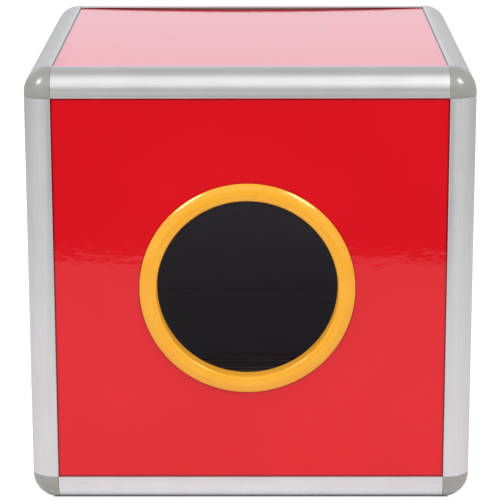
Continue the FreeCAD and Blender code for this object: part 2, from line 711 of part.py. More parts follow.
def make_cam_screw():
    seat = LOCK_BODY_END - PLUG_CLEARANCE - CAM_THICKNESS - PLUG_TAIL_CLEARANCE
    head = lock_rod(CAM_SCREW_HEAD_RADIUS, seat - CAM_SCREW_HEAD_HEIGHT, seat)
    shank = lock_rod(CAM_SCREW_RADIUS, seat - CAM_SCREW_HEAD_HEIGHT / 2, seat + CAM_SCREW_DEPTH)
    recess_depth = seat - CAM_SCREW_HEAD_HEIGHT + CAM_SCREW_RECESS_DEPTH
    half_long = CAM_SCREW_HEAD_RADIUS / 2
    half_short = CAM_SCREW_RECESS_WIDTH / 2
    cross = [
        block(
            (LOCK_X - across, seat - CAM_SCREW_HEAD_HEIGHT - 1, LOCK_Z - up),
            (LOCK_X + across, recess_depth, LOCK_Z + up),
        )
        for across, up in ((half_long, half_short), (half_short, half_long))
    ]
    save("lock_cam_screw", head.fuse(shank).removeSplitter().cut(cross))


os.makedirs("parts", exist_ok=True)
make_rails()
make_corners()
make_side_boards()
make_top_board()
make_front_board()
make_back_board()
make_ring()
make_retainer()
make_door_leaf()
make_door_stops()
make_hinges()
make_rivets()
make_lock_housing()
make_lock_nut()
make_lock_plug()
make_lock_cam()
make_cam_screw()
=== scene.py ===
"""Looks of the ballot box: a cube of glossy red boards in an aluminium edge frame.

The scene is in metres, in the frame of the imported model: +X right, +Y from the front to the back,
+Z up. The box's own sizes are written in millimetres, and MM turns them into metres.
"""

import math

import bmesh
import bpy
from mathutils import Matrix, Vector


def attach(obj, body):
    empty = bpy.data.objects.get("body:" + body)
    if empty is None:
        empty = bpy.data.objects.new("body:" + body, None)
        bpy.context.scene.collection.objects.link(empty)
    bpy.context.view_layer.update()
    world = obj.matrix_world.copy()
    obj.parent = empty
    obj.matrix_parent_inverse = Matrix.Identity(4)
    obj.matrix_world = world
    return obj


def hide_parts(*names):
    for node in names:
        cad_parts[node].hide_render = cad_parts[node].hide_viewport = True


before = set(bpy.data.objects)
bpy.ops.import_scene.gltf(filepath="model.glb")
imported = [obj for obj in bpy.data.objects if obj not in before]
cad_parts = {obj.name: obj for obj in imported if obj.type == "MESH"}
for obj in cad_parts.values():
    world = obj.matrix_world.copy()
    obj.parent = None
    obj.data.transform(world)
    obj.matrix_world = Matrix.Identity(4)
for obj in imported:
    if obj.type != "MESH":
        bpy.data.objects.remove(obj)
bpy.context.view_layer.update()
scene = bpy.context.scene
scene.view_settings.view_transform = "Standard"
MM = 0.001

# The photograph's view
# A long lens in front of the box, a little above it, that looks down at it and a hair to the left.

VIEW_POINT = (0.00737, -1.65437, 0.56779)
VIEW_PITCH = math.radians(14.4936)
VIEW_YAW = math.radians(-0.2876)
VIEW_ROLL = math.radians(-0.1072)
SENSOR_WIDTH = 36.0
FOCAL_LENGTH = 167.81

lens = bpy.data.cameras.new("photo_lens")
lens.sensor_width = SENSOR_WIDTH
lens.lens = FOCAL_LENGTH
lens.clip_start = 0.05
lens.clip_end = 50.0
camera = bpy.data.objects.new("photo_camera", lens)
camera.matrix_world = (
    Matrix.Translation(VIEW_POINT)
    @ Matrix.Rotation(-VIEW_YAW, 4, "Z")
    @ Matrix.Rotation(math.pi / 2 - VIEW_PITCH, 4, "X")
    @ Matrix.Rotation(VIEW_ROLL, 4, "Z")
)
scene.collection.objects.link(camera)
scene.camera = camera


# The studio
# A pale table with a strip of dark carpet in front of the box, in a pale room with a white backdrop
# behind. Two softboxes hang at the front left and the front right, and a wide bank overhead.

class Value:
    """A wire of a node tree, so that maths on it reads as an expression."""

    def __init__(self, recipe, socket):
        self.recipe = recipe
        self.socket = socket

    def maths(self, operation, first, second=0.0):
        return self.recipe.node("ShaderNodeMath", {"operation": operation}, {0: first, 1: second})

    def __add__(self, other):
        return self.maths("ADD", self, other)

    def __radd__(self, other):
        return self.maths("ADD", other, self)

    def __sub__(self, other):
        return self.maths("SUBTRACT", self, other)

    def __rsub__(self, other):
        return self.maths("SUBTRACT", other, self)

    def __mul__(self, other):
        return self.maths("MULTIPLY", self, other)

    def __rmul__(self, other):
        return self.maths("MULTIPLY", other, self)

    def __gt__(self, other):
        return self.maths("GREATER_THAN", self, other)

    def __lt__(self, other):
        return self.maths("LESS_THAN", self, other)

    def size(self):
        return self.maths("ABSOLUTE", self)

    def ramp(self, start, end):
        """0 up to start and 1 from end on, with a smooth change between them."""
        settings = {"interpolation_type": "SMOOTHSTEP"}
        inputs = {"Value": self, "From Min": start, "From Max": end}
        return self.recipe.node("ShaderNodeMapRange", settings, inputs)

    def band(self, start, full, fade, end):
        """0 up to start, 1 from full to fade, and 0 again from end on."""
        return self.ramp(start, full) * (1.0 - self.ramp(fade, end))

    def length(self):
        return self.recipe.node("ShaderNodeVectorMath", {"operation": "LENGTH"}, {0: self}, "Value")

    def parts(self):
        """The three numbers of a vector."""
        split = self.recipe.node("ShaderNodeSeparateXYZ", None, {0: self}).socket.node
        return [Value(self.recipe, output) for output in split.outputs]


class Recipe:
    """A node tree in the making."""

    def __init__(self, tree):
        self.tree = tree

    def node(self, kind, settings=None, inputs=None, output=0):
        """Adds a node. Its settings come first, then the values or the wires of its sockets."""
        made = self.tree.nodes.new(kind)
        for name, setting in (settings or {}).items():
            setattr(made, name, setting)
        for name, given in (inputs or {}).items():
            for one in given if isinstance(given, list) else [given]:
                if isinstance(one, Value):
                    self.tree.links.new(one.socket, made.inputs[name])
                else:
                    made.inputs[name].default_value = one
        return Value(self, made.outputs[output]) if made.outputs else None

    def blend(self, factor, first, second):
        """A colour between two colours."""
        inputs = {0: factor, 6: first, 7: second}
        return self.node("ShaderNodeMix", {"data_type": "RGBA"}, inputs, 2)


def blank_recipe(owner):
    """The node tree of a material or the world, emptied."""
    owner.use_nodes = True
    owner.node_tree.nodes.clear()
    return Recipe(owner.node_tree)


def seen_by(recipe, kind):
    """1 for one kind of ray, such as Camera or Glossy, and 0 for the others."""
    return recipe.node("ShaderNodeLightPath", output=f"Is {kind} Ray")


WHITE = (1.0, 1.0, 1.0, 1.0)
COOL_WHITE = (0.96, 1.0, 1.10, 1.0)
ROOM_LEVEL = 0.50
FAR_WALL_LEVEL = 0.78
ABOVE_CAMERA_LEVEL = 0.30
SIDE_WALLS_LEVEL = 0.86
BACKDROP_LEVEL = 1.22
GLOW = 0.14
CEILING_LEVEL = 0.45

# The ramps say in which directions the parts of the room start and end: 0 is across the view and 1
# is straight towards what the name says.
studio = bpy.data.worlds.new("studio")
scene.world = studio
recipe = blank_recipe(studio)
sideways, towards_back, upwards = recipe.node("ShaderNodeTexCoord", output="Generated").parts()
towards_front = 0.0 - towards_back
aside = sideways.size()
backdrop = towards_back.ramp(0.70, 0.95) * upwards.band(0.08, 0.13, 0.19, 0.25)
backdrop = backdrop * (1.0 - 0.75 * aside.ramp(0.072, 0.11) - 0.25 * aside.ramp(0.30, 0.50))
side_walls = towards_front.ramp(0.0, 0.4) * aside.ramp(0.2, 0.5) * (1.0 - upwards.ramp(0.5, 0.8))
glow = towards_back.ramp(0.2, 0.8) * upwards.band(0.15, 0.25, 0.25, 0.80)
camera_side = towards_front.ramp(0.75, 0.95)
far_wall = camera_side * (1.0 - upwards.size().ramp(0.04, 0.13))
room = ROOM_LEVEL + (BACKDROP_LEVEL - ROOM_LEVEL) * backdrop
room = room + (SIDE_WALLS_LEVEL - ROOM_LEVEL) * side_walls
room = room - (ROOM_LEVEL - ABOVE_CAMERA_LEVEL) * camera_side
room = room + (FAR_WALL_LEVEL - ABOVE_CAMERA_LEVEL) * far_wall
room = room + GLOW * glow
room = room - (ROOM_LEVEL - CEILING_LEVEL) * upwards.ramp(0.75, 0.95)
straight_on = seen_by(recipe, "Camera")
level = straight_on + (1.0 - straight_on) * room
cool = recipe.blend((1.0 - straight_on) * backdrop, WHITE, COOL_WHITE)
light = recipe.node("ShaderNodeBackground", None, {"Color": cool, "Strength": level})
recipe.node("ShaderNodeOutputWorld", None, {"Surface": light})

FLOOR_REACH = 9.0
TABLE_DROP = 0.0008
TABLE_SHADE = 0.97
TABLE_MIRRORED = 0.49
CARPET_HALF = 0.30
CARPET_START = 0.81
CARPET_END = 1.8
CARPET_DROP = 0.0003
CARPET_SHADE = 0.10
PAPER_SEEN = 0.94
DIM_PAPER = (0.35, 0.35, 0.35, 1.0)
MIRRORED_TONE = (1.0, 0.985, 1.02, 1.0)
FOOT = 0.1345
# Widths of the painted shadow round the box's foot, as the camera sees it and as it is mirrored.
PAINTED_SHADOW_RIM = 0.003
MIRRORED_PAINTED_SHADE_RIM = 0.011


def floor_finish(name, shade, mirrored_level):
    """Matt paper in a shade of grey. The camera sees it nearly white, with the box's soft shadow on it,
    and dark right under the box, where its glow is cut away as a painted shadow. The box mirrors it at
    mirrored_level, with painted shade near the box and a painted fading with the distance, or in its own
    shade where that level is 0."""
    material = bpy.data.materials.new(name)
    material.cycles.emission_sampling = "NONE"
    recipe = blank_recipe(material)
    place = recipe.node("ShaderNodeNewGeometry")
    across, deep, _ = place.parts()
    aside = across.size()
    from_middle = aside.maths("MAXIMUM", aside, deep.size())
    # Painted shadow: the glow is cut away under the box and, in the mirror image, near it.
    open_floor = from_middle.ramp(FOOT, FOOT + PAINTED_SHADOW_RIM)
    mirrored_clear_of_painted_shade = from_middle.ramp(FOOT + PAINTED_SHADOW_RIM, FOOT + MIRRORED_PAINTED_SHADE_RIM)
    mirrored = seen_by(recipe, "Glossy") + seen_by(recipe, "Transmission")
    looking = seen_by(recipe, "Camera")
    distance = place.length()
    # Painted change of the mirror image's brightness with the distance and to the sides.
    fading = 1.0 - 0.12 * distance.ramp(0.15, 0.24) - 0.46 * distance.ramp(0.55, 1.6)
    fading = fading - 0.10 * aside.ramp(0.15, 0.6) + 0.38 * distance.ramp(1.6, 1.9)
    strength = PAPER_SEEN * looking * open_floor + mirrored_level * mirrored * mirrored_clear_of_painted_shade * fading
    paper = recipe.node("ShaderNodeBsdfDiffuse", None, {"Color": (shade, shade, shade, 1.0)})
    dim_paper = recipe.node("ShaderNodeBsdfDiffuse", None, {"Color": DIM_PAPER})
    tone = recipe.blend(looking, MIRRORED_TONE, WHITE)
    shine = recipe.node("ShaderNodeEmission", None, {"Color": tone, "Strength": strength})
    lit = recipe.node("ShaderNodeAddShader", None, {0: dim_paper, 1: shine})
    share = looking + mirrored if mirrored_level else looking
    surface = recipe.node("ShaderNodeMixShader", None, {0: share, 1: paper, 2: lit})
    recipe.node("ShaderNodeOutputMaterial", None, {"Surface": surface})
    return material


def floor_sheet(name, across, deep, drop, material):
    """A level sheet from across[0] to across[1] and from deep[0] to deep[1], just below the box."""
    left, right = across
    near, far = deep
    shape = bmesh.new()
    places = ((left, near), (right, near), (right, far), (left, far))
    shape.faces.new([shape.verts.new((x, y, -drop)) for x, y in places])
    mesh = bpy.data.meshes.new(name)
    shape.to_mesh(mesh)
    shape.free()
    mesh.materials.append(material)
    sheet = bpy.data.objects.new(name, mesh)
    scene.collection.objects.link(sheet)


pale_table = floor_finish("pale_table", TABLE_SHADE, TABLE_MIRRORED)
dark_carpet = floor_finish("dark_carpet", CARPET_SHADE, 0.0)
whole_floor = (-FLOOR_REACH, FLOOR_REACH)
floor_sheet("pale_table", whole_floor, whole_floor, TABLE_DROP, pale_table)
floor_sheet(
    "dark_carpet", (-CARPET_HALF, CARPET_HALF), (-CARPET_END, -CARPET_START), CARPET_DROP, dark_carpet
)

# For each lamp its name, its direction and distance from where it aims, width, height and power.
AIMED_AT = Vector((0.0, -0.05, 0.15))
LAMPS = (
    ("left_softbox", (-0.64, -0.34, 0.72), 1.6, 0.37, 0.52, 6.6),
    ("right_softbox", (0.55, -0.40, 0.73), 1.6, 0.37, 0.52, 6.6),
    ("overhead_bank", (0.0, -0.565, 0.825), 1.8, 2.4, 1.76, 5.4),
)
for name, towards, distance, width, height, power in LAMPS:
    lamp_data = bpy.data.lights.new(name, "AREA")
    lamp_data.shape = "RECTANGLE"
    lamp_data.size = width
    lamp_data.size_y = height
    lamp_data.energy = power
    lamp = bpy.data.objects.new(name, lamp_data)
    way = Vector(towards).normalized()
    lamp.location = AIMED_AT + way * distance
    lamp.rotation_euler = way.to_track_quat("Z", "Y").to_euler()
    scene.collection.objects.link(lamp)


# Edge rails
# Twelve lengths of one aluminium extrusion, satin anodised: a round outer face, and a slot on each
# side that takes the edge of a board. They are cut square and pushed on to the legs of the corners.

BOX = 300.0
RAIL_ROUND = 16.6
RAIL_FLANGE = 18.6
RAIL_SKIN = 1.2
RAIL_SEAM = 0.12
RAIL_LENGTH = BOX - 2 * (RAIL_FLANGE + RAIL_SEAM)
LIP_BEND = ((0.35, 0.1), (0.65, 0.4))
LIP_DROP = 0.08
LIP_ROUND = 0.7
LIP_BACK_ROUND = 0.25
LIP_INNER = 7.0
INNER_ROUND = 0.3
SLOT_INNER = 5.8
SLOT_ROUND = 0.2
SLOT_FLOOR = 13.4
POCKET_WALL = 12.2
ARC_STEPS = 32
EASING_STEPS = 3
INSIDE_FROM = 6.4
GRAIN_SHIFT = 0.37
GRAIN_DEPTH = 0.004
MERGED_WITHIN = 0.002
SHARP_ANGLE = 32.0
ALUMINIUM_DARK = (0.81, 0.81, 0.81, 1.0)
ALUMINIUM_LIGHT = (0.90, 0.90, 0.90, 1.0)
# Painted shade: the colour of the rails' inside faces, darker for the shade inside the box.
ALUMINIUM_INSIDE_SHADE = (0.52, 0.47, 0.49, 1.0)


def corner_arc(radius, edge, steps):
    """Points round the middle of the rail's round face. The angle is 0 at one side's face and 90 at
    the other's, and the points start and end at edge from these."""
    points = []
    for step in range(steps + 1):
        angle = math.radians(edge + (90 - 2 * edge) * step / steps)
        points.append((RAIL_ROUND - radius * math.sin(angle), RAIL_ROUND - radius * math.cos(angle)))
    return points


def eased(points):
    """An outline whose corners, given as x, y and radius, are rounded off."""
    places = [Vector((x, y, 0.0)) for x, y, _ in points]
    outline = []
    for index, (x, y, radius) in enumerate(points):
        if radius == 0.0:
            outline.append((x, y))
            continue
        corner = places[index]
        before = (places[index - 1] - corner).normalized()
        after = (places[(index + 1) % len(points)] - corner).normalized()
        half = before.angle(after) / 2
        middle = corner + (before + after).normalized() * radius / math.sin(half)
        first = corner + before * radius / math.tan(half) - middle
        last = corner + after * radius / math.tan(half) - middle
        for step in range(EASING_STEPS + 1):
            spoke = first.normalized().slerp(last.normalized(), step / EASING_STEPS) * radius
            outline.append(tuple((middle + spoke)[:2]))
    return outline


def rail_outline():
    """Round face, then one slot's lips, the inner corner and the other slot's lips. The outer lip
    goes on from the round face and bends in a little."""
    lip = RAIL_FLANGE - RAIL_ROUND
    lips = [(drop * LIP_DROP, RAIL_ROUND + share * lip, 0.0) for share, drop in LIP_BEND]
    lips += [
        (LIP_DROP, RAIL_FLANGE, LIP_ROUND), (RAIL_SKIN, RAIL_FLANGE, LIP_BACK_ROUND),
        (RAIL_SKIN, SLOT_FLOOR, 0.0), (SLOT_INNER, SLOT_FLOOR, 0.0),
        (SLOT_INNER, RAIL_FLANGE, SLOT_ROUND), (LIP_INNER, RAIL_FLANGE, INNER_ROUND),
        (LIP_INNER, SLOT_FLOOR, INNER_ROUND),
    ]
    mirrored = [(y, x, radius) for x, y, radius in reversed(lips)]
    face = [(x, y, 0.0) for x, y in corner_arc(RAIL_ROUND, 0, ARC_STEPS)]
    return eased(face + lips + [(SLOT_FLOOR, SLOT_FLOOR, INNER_ROUND)] + mirrored)


def hollow_outline(inset=0.0):
    """The rail's hollow, which takes a corner's leg, drawn in by an inset all round."""
    radius = RAIL_ROUND - RAIL_SKIN - inset
    far = POCKET_WALL - inset
    edge = math.degrees(math.asin((RAIL_ROUND - far) / radius))
    return corner_arc(radius, edge, ARC_STEPS // 2) + [(far, far)]


def as_mesh(shape, name):
    """A mesh from a bmesh, with its faces, if it has any, turned outwards."""
    bmesh.ops.recalc_face_normals(shape, faces=shape.faces)
    mesh = bpy.data.meshes.new(name)
    shape.to_mesh(mesh)
    shape.free()
    return mesh


def outline_mesh(name, *outlines):
    """Closed loops of edges in the XY plane."""
    shape = bmesh.new()
    for outline in outlines:
        points = [shape.verts.new((x * MM, y * MM, 0.0)) for x, y in outline]
        for first, second in zip(points, points[1:] + points[:1]):
            shape.edges.new((first, second))
    return as_mesh(shape, name)


def geometry_tree(name, **inputs):
    """An empty geometry tree with named inputs, and the wires of those inputs."""
    tree = bpy.data.node_groups.new(name, "GeometryNodeTree")
    tree.interface.new_socket("Geometry", in_out="INPUT", socket_type="NodeSocketGeometry")
    for label, kind in inputs.items():
        socket_type = "NodeSocket" + kind
        tree.interface.new_socket(label.replace("_", " "), in_out="INPUT", socket_type=socket_type)
    tree.interface.new_socket("Geometry", in_out="OUTPUT", socket_type="NodeSocketGeometry")
    recipe = Recipe(tree)
    entry = recipe.node("NodeGroupInput").socket.node
    return recipe, [Value(recipe, socket) for socket in entry.outputs if socket.name]


def stored(geometry, name, kind, value):
    """Stores a value at each point of a geometry, under a name that a material can read."""
    settings = {"data_type": kind, "domain": "POINT"}
    inputs = {"Geometry": geometry, "Name": name, "Value": value}
    return geometry.recipe.node("GeometryNodeStoreNamedAttribute", settings, inputs)


def finished_tree(recipe, shape, material):
    """Ends a geometry tree: real geometry, in one finish."""
    real = recipe.node("GeometryNodeRealizeInstances", None, {"Geometry": shape})
    dressed = recipe.node("GeometryNodeSetMaterial", None, {"Geometry": real, "Material": material})
    recipe.node("NodeGroupOutput", None, {"Geometry": dressed})


def baked(made):
    """The object's mesh with its modifiers applied. The object itself goes."""
    graph = bpy.context.evaluated_depsgraph_get()
    mesh = bpy.data.meshes.new_from_object(
        made.evaluated_get(graph), preserve_all_data_layers=True, depsgraph=graph
    )
    made.modifiers.clear()
    bpy.data.objects.remove(made)
    return mesh


def grown(recipe, seed_mesh, values):
    """Runs a geometry tree on a mesh and keeps what it makes as a plain mesh."""
    seed = bpy.data.objects.new("seed", seed_mesh)
    scene.collection.objects.link(seed)
    modifier = seed.modifiers.new("grown", "NODES")
    modifier.node_group = recipe.tree
    for item in recipe.tree.interface.items_tree:
        if item.item_type == "SOCKET" and item.in_out == "INPUT" and item.name in values:
            modifier[item.identifier] = values[item.name]
    return baked(seed)


def smoothed(mesh, sharp_angle=SHARP_ANGLE):
    """Faces outwards, smooth shading, and a hard line only at real edges."""
    shape = bmesh.new()
    shape.from_mesh(mesh)
    bmesh.ops.remove_doubles(shape, verts=shape.verts, dist=MERGED_WITHIN * MM)
    bmesh.ops.recalc_face_normals(shape, faces=shape.faces)
    shape.to_mesh(mesh)
    shape.free()
    mesh.shade_smooth()
    mesh.set_sharp_from_angle(angle=math.radians(sharp_angle))
    return mesh


def piece(name, mesh, body, slot, replaced, material=None):
    """Puts a finished mesh in the scene, in place of the plain solids that it stands for."""
    mesh.name = name
    if material:
        mesh.materials.clear()
        mesh.materials.append(material)
    made = bpy.data.objects.new(name, mesh)
    scene.collection.objects.link(made)
    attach(made, body)
    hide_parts(*replaced)


def noise(vector, scale, detail=2.0, roughness=0.5):
    """A cloud of numbers about 0.5. A scale of 1000 has features about a millimetre across."""
    inputs = {"Vector": vector, "Scale": scale, "Detail": detail, "Roughness": roughness}
    return vector.recipe.node("ShaderNodeTexNoise", None, inputs)


def scaled(vector, x, y, z):
    """A vector stretched along its axes, for a pattern with a direction."""
    return vector.recipe.node("ShaderNodeMapping", None, {"Vector": vector, "Scale": (x, y, z)})


def bumped(height, depth, strength=1.0, normal=None):
    """The surface's normal, or another one, tipped by a height from 0 to 1 that stands for a depth
    in metres."""
    inputs = {"Height": height, "Distance": depth, "Strength": strength}
    if normal:
        inputs["Normal"] = normal
    return height.recipe.node("ShaderNodeBump", None, inputs)


def coated(name, make):
    """A material with one Principled shader, whose sockets come from make(recipe)."""
    material = bpy.data.materials.new(name)
    recipe = blank_recipe(material)
    surface = recipe.node("ShaderNodeBsdfPrincipled", None, make(recipe))
    recipe.node("ShaderNodeOutputMaterial", None, {"Surface": surface})
    return material


def satin_anodised(recipe):
    """Drawn lengthways: fine lines along the rail, and a soft cloud of the anodising. The faces towards
    the inside of the box are smoother, and their colour is a painted shade, darker for the shade inside
    the box."""
    grain = recipe.node("ShaderNodeAttribute", {"attribute_name": "grain"}, output="Vector")
    inside = recipe.node("ShaderNodeAttribute", {"attribute_name": "inside_face"}, output="Fac")
    lines = noise(scaled(grain, 1.0, 0.006, 1.0), 2600.0, 3.0, 0.6)
    broad = noise(scaled(grain, 1.0, 0.03, 1.0), 420.0, 2.0)
    cloud = noise(grain, 45.0, 3.0)
    shade = 0.35 * lines + 0.35 * broad + 0.3 * cloud
    outside = recipe.blend(shade.ramp(0.3, 0.7), ALUMINIUM_DARK, ALUMINIUM_LIGHT)
    return {
        # Painted shade: the inside faces take a darker colour for the shade inside the box.
        "Base Color": recipe.blend(inside, outside, ALUMINIUM_INSIDE_SHADE),
        "Metallic": 1.0,
        "Roughness": 0.29 + 0.10 * lines - 0.14 * inside,
        "Normal": bumped(lines, GRAIN_DEPTH * MM, 0.6),
    }


def drawn_rail():
    """The geometry tree that draws the rail's section out to a length. It stores each point's place
    round and along the rail, for the grain, and whether the point is on the box's inner side."""
    recipe, wires = geometry_tree(
        "drawn_rail", Length="Float", Round_Radius="Float", Grain_Offset="Float", Finish="Material"
    )
    section, length, round_radius, grain_offset, finish = wires
    loops = recipe.node("GeometryNodeMeshToCurve", None, {"Mesh": section})
    cut_end = recipe.node("GeometryNodeFillCurve", {"mode": "NGONS"}, {"Curve": loops})
    run = recipe.node("ShaderNodeCombineXYZ", None, {"Z": length})
    drawn = recipe.node(
        "GeometryNodeExtrudeMesh", {"mode": "FACES"},
        {"Mesh": cut_end, "Offset": run, "Offset Scale": 1.0, "Individual": False},
    )
    bar = recipe.node("GeometryNodeJoinGeometry", None, {"Geometry": [drawn, cut_end]})
    across, deep, along = recipe.node("GeometryNodeInputPosition").parts()
    turn = across.maths("ARCTAN2", across - round_radius, deep - round_radius)
    places = {"X": turn * round_radius, "Y": along, "Z": grain_offset}
    grain = recipe.node("ShaderNodeCombineXYZ", None, places)
    inside = (across > INSIDE_FROM * MM) * (deep > INSIDE_FROM * MM)
    bar = stored(bar, "grain", "FLOAT_VECTOR", grain)
    bar = stored(bar, "inside_face", "FLOAT", inside)
    finished_tree(recipe, bar, finish)
    return recipe


ACROSS = Vector((1, 0, 0))
BACKWARDS = Vector((0, 1, 0))
UP = Vector((0, 0, 1))
INWARD = {
    "left": ACROSS, "right": -ACROSS,
    "front": BACKWARDS, "rear": -BACKWARDS,
    "bottom": UP, "top": -UP,
}


def box_corner(*sides):
    """The point on the box's outside that the named sides share, in the middle of the other axes."""
    point = Vector((0.0, 0.0, BOX / 2))
    for side in sides:
        point -= INWARD[side] * BOX / 2
    return point * MM


def laid(first, second, third, origin):
    """A matrix that lays local X, Y and Z along three directions. It never mirrors."""
    if first.cross(second).dot(third) < 0:
        first, second = second, first
    turned_axes = Matrix((first, second, third)).transposed().to_4x4()
    return Matrix.Translation(origin) @ turned_axes


ENDS = ("front", "rear")
LEVELS = ("top", "bottom")
SIDES = ("left", "right")
rail_metal = coated("satin_anodised_aluminium", satin_anodised)
rail_recipe = drawn_rail()
rail_section = outline_mesh("rail_section", rail_outline(), hollow_outline())
rail_runs = [(ACROSS, end, level) for end in ENDS for level in LEVELS]
rail_runs += [(UP, end, side) for end in ENDS for side in SIDES]
rail_runs += [(BACKWARDS, level, side) for level in LEVELS for side in SIDES]
for number, (along_box, one, other) in enumerate(rail_runs, 1):
    mesh = grown(rail_recipe, rail_section.copy(), {
        "Length": RAIL_LENGTH * MM,
        "Round Radius": RAIL_ROUND * MM,
        "Grain Offset": GRAIN_SHIFT * number,
        "Finish": rail_metal,
    })
    start = box_corner(one, other) - along_box * RAIL_LENGTH * MM / 2
    mesh.transform(laid(INWARD[one], INWARD[other], along_box, start))
    piece(f"{one}_{other}_rail", smoothed(mesh), "box", "rail_aluminium", [f"rail_{one}_{other}"])


# Ball corners
# Eight smooth grey plastic mouldings: the round of three rails meets on a ball, and three legs go
# into the rails' hollows. Their edges at the seams are slightly rounded, so that each seam shows.

BALL_STEPS = 16
SEAM_ROUND = 0.3
SEAM_TURNS = (20, 40, 65, 90)
LEG_CLEARANCE = 0.1
LEG_ROOT = 2.0
LEG_LENGTH = 24.0
LEG_TIP = 3.0
LEG_TAPER = 0.8
CUT_PAST = 1.0
CORNER_SHARP_ANGLE = 25.0
CORNER_DARK = (0.303, 0.307, 0.275, 1.0)
CORNER_LIGHT = (0.339, 0.343, 0.309, 1.0)


def ball_cap():
    """A cube of three round and three flat sides, drawn from a grid that follows the rails' round."""
    flat = RAIL_FLANGE - SEAM_ROUND
    steps = [RAIL_ROUND * step / BALL_STEPS for step in range(BALL_STEPS + 1)] + [flat]
    steps += [flat + SEAM_ROUND * math.sin(math.radians(turn)) for turn in SEAM_TURNS]
    last = len(steps) - 1
    shape = bmesh.new()
    made = {}

    def vertex(*place):
        if place not in made:
            point = Vector([steps[index] for index in place])
            inner = Vector([max(value, RAIL_ROUND) for value in point])
            offset = point - inner
            beyond = max(0.0, max(point) - flat)
            drop = SEAM_ROUND - math.sqrt(max(0.0, SEAM_ROUND**2 - beyond**2))
            if offset.length > 0:
                on_ball = max(abs(value) for value in offset) / offset.length
                offset *= on_ball * (1 - drop / RAIL_ROUND)
            made[place] = shape.verts.new((inner + offset) * MM)
        return made[place]

    for axis in range(3):
        for level in (0, last):
            for u in range(last):
                for v in range(last):
                    quad = [[u, v], [u + 1, v], [u + 1, v + 1], [u, v + 1]]
                    for place in quad:
                        place.insert(axis, level)
                    shape.faces.new([vertex(*place) for place in quad])
    return as_mesh(shape, "ball_cap")


def joined_loops(shape, first, second):
    """Faces from one closed loop of points to another with as many."""
    for index in range(len(first)):
        following = (index + 1) % len(first)
        shape.faces.new((first[index], first[following], second[following], second[index]))


def three_legs():
    """Legs along X, Y and Z, each drawn in at its tip."""
    shape = bmesh.new()
    end = RAIL_FLANGE + LEG_LENGTH
    levels = ((RAIL_ROUND - LEG_ROOT, 0.0), (end - LEG_TIP, 0.0), (end, LEG_TAPER))
    for axis in range(3):
        rings = []
        for height, inset in levels:
            ring = []
            for x, y in hollow_outline(LEG_CLEARANCE + inset):
                point = Vector((x, y, height)) * MM
                ring.append(shape.verts.new([point[(index - axis) % 3] for index in range(3)]))
            rings.append(ring)
        for lower, upper in zip(rings, rings[1:]):
            joined_loops(shape, lower, upper)
        shape.faces.new(rings[0])
        shape.faces.new(rings[-1])
    return as_mesh(shape, "corner_legs")


def slot_cutters():
    """The slots that take the boards' corners, and the room behind them."""
    shape = bmesh.new()
    outside = RAIL_FLANGE + CUT_PAST
    for axis in range(3):
        for near, far in ((RAIL_SKIN, SLOT_INNER), (LIP_INNER, outside)):
            low = Vector([SLOT_FLOOR] * 3)
            high = Vector([outside] * 3)
            low[axis] = near
            high[axis] = far
            size = (high - low) * MM
            place = Matrix.Translation((low + high) / 2 * MM) @ Matrix.Diagonal((*size, 1.0))
            bmesh.ops.create_cube(shape, size=1.0, matrix=place)
    return as_mesh(shape, "slot_cutters")


def cut_or_joined(mesh, tool_mesh, operation):
    """The mesh with another one cut away from it or joined to it."""
    made = bpy.data.objects.new("whole", mesh)
    tool = bpy.data.objects.new("tool", tool_mesh)
    scene.collection.objects.link(made)
    scene.collection.objects.link(tool)
    change = made.modifiers.new("change", "BOOLEAN")
    change.operation = operation
    change.solver = "EXACT"
    change.use_self = True
    change.object = tool
    result = baked(made)
    bpy.data.objects.remove(tool)
    return result


def corner_grey(recipe):
    """Smooth moulded plastic, with a very slight cloud in its colour and a faint mould texture."""
    point = recipe.node("ShaderNodeTexCoord", output="Object")
    cloud = noise(point, 60.0, 3.0)
    fine = noise(point, 3500.0, 2.0)
    return {
        "Base Color": recipe.blend(cloud.ramp(0.3, 0.7), CORNER_DARK, CORNER_LIGHT),
        "Roughness": 0.19 + 0.05 * cloud,
        "IOR": 1.62,
        "Coat Weight": 0.5,
        "Coat Roughness": 0.22,
        "Normal": bumped(fine, 0.002 * MM, 0.4),
    }


corner_plastic = coated("grey_corner_plastic", corner_grey)
corner_shape = cut_or_joined(ball_cap(), slot_cutters(), "DIFFERENCE")
corner_shape = cut_or_joined(corner_shape, three_legs(), "UNION")
for end in ENDS:
    for level in reversed(LEVELS):
        for side in SIDES:
            mesh = corner_shape.copy()
            place = box_corner(end, level, side)
            mesh.transform(laid(INWARD[side], INWARD[end], INWARD[level], place))
            piece(
                f"{end}_{level}_{side}_corner", smoothed(mesh, CORNER_SHARP_ANGLE), "box",
                "corner_plastic", [f"corner_{end}_{level}_{side}"], corner_plastic,
            )


# Boards
# Six hard boards, 3 mm thick: a glossy red laminate outside with a faint orange peel, a brown fibre
# core, and a dull grey face inside. They stand loose in the rails' slots, and the top one sags.

BOARD = 3.0
BOARD_INSET = 13.8
BOARD_EDGE = 0.25
LAMINATE = 0.25
SAG = 1.2
SAG_STEPS = 48
PEEL_DEPTH = 0.050
SWELL_DEPTH = 0.06
RED_ROUGHNESS = 0.05
INSIDE_ROUGHNESS = 0.55
DEEP_GLOSS = 0.06
RED_DEEP = (0.755, 0.0045, 0.0115, 1.0)
RED_BRIGHT = (0.785, 0.0058, 0.0145, 1.0)
# Painted shade: the share by which the top board's red is darkened.
TOP_PAINTED_SHADE = 0.14
